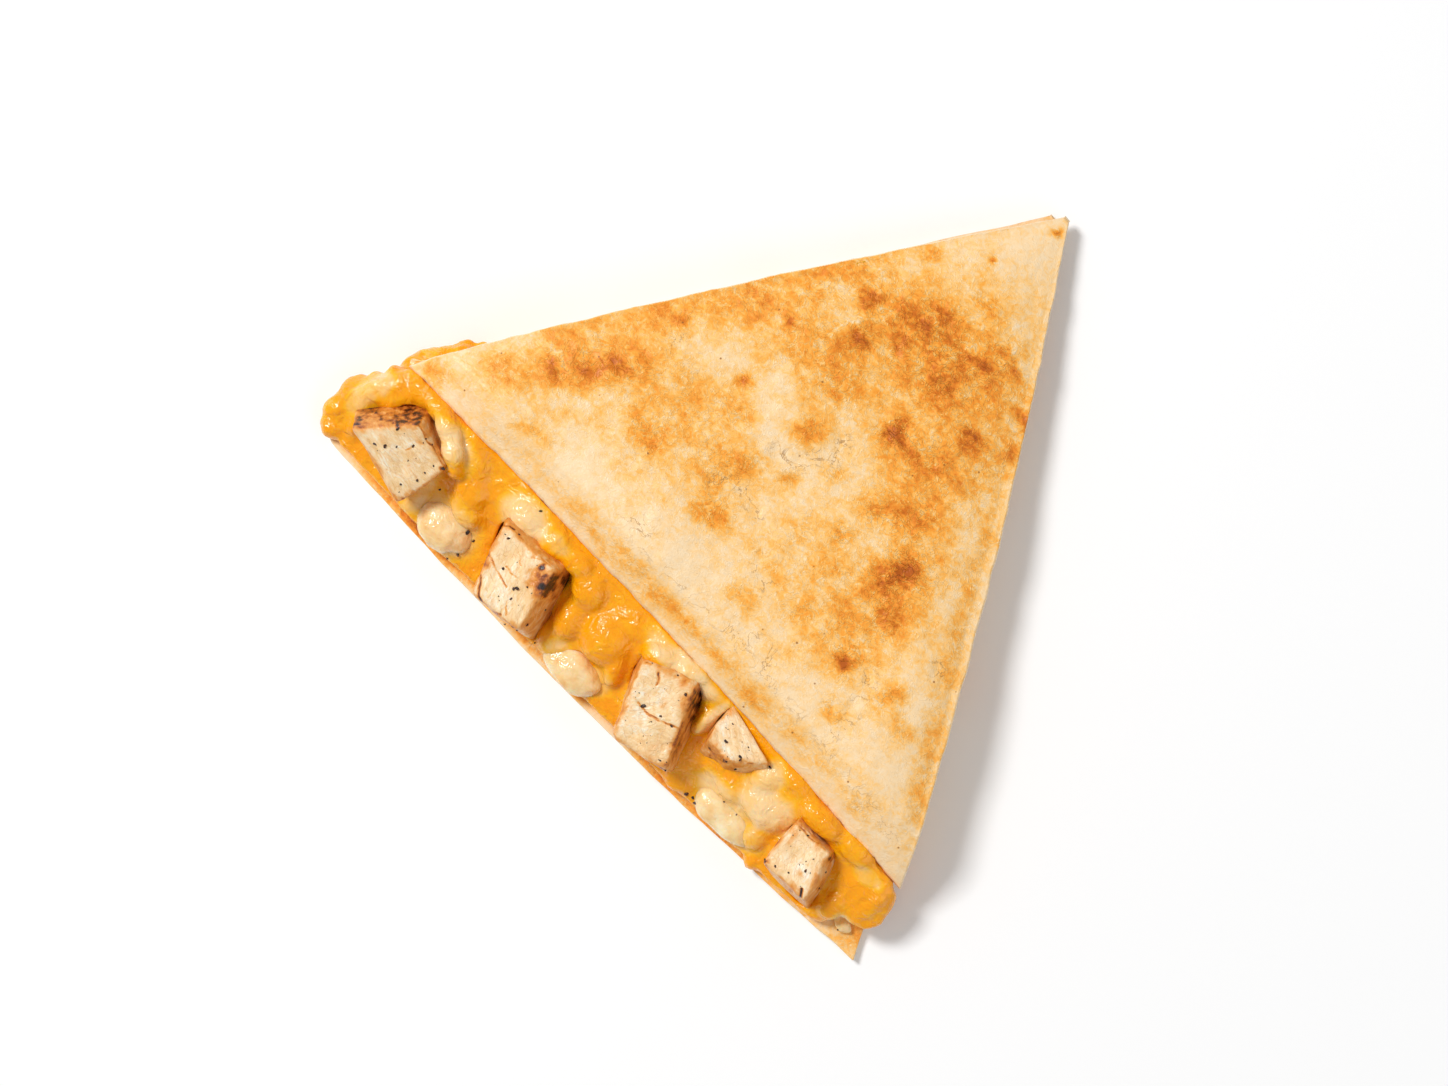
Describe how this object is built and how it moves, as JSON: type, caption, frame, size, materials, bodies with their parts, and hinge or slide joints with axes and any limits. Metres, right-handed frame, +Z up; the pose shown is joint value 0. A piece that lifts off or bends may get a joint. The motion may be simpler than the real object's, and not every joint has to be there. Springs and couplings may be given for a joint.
{
  "type": "chicken quesadilla wedge",
  "caption": "Cut wedge of grilled chicken quesadilla: toasted flour tortillas with melted orange and white cheese and diced chicken showing at the open side.",
  "frame": {"origin": "middle of the underside: the centre of the bounding box in X and Y, at the height of the surface that the wedge lies on", "axes": "+Z up; +X along the open side from left to right as one faces it; +Y from the open side, where the filling shows, to the narrow tip"},
  "size_m": [0.1758, 0.1574, 0.0226],
  "materials": {
    "toasted_tortilla": "dry wheat flour tortilla, pale cream with golden-brown toasted patches and small blisters",
    "melted_cheese": "melted orange cheddar marbled with white cheese, soft and glossy",
    "white_cheese": "melted white cheese in soft glossy lumps",
    "grilled_chicken": "diced grilled chicken breast, pale and fibrous on the cut faces, seared brown with char on the outer ones, with ground pepper"
  },
  "bodies": {
    "root": {"lower_tortilla": "toasted_tortilla", "upper_tortilla": "toasted_tortilla", "melted_cheese": "melted_cheese", "white_cheese_lump_1": "white_cheese", "white_cheese_lump_2": "white_cheese", "white_cheese_lump_3": "white_cheese", "chicken_dice_1": "grilled_chicken", "chicken_dice_2": "grilled_chicken", "chicken_dice_3": "grilled_chicken", "chicken_dice_4": "grilled_chicken", "chicken_dice_5": "grilled_chicken", "chicken_dice_6": "grilled_chicken", "chicken_dice_7": "grilled_chicken", "chicken_dice_8": "grilled_chicken", "chicken_dice_9": "grilled_chicken"}
  },
  "joints": []
}
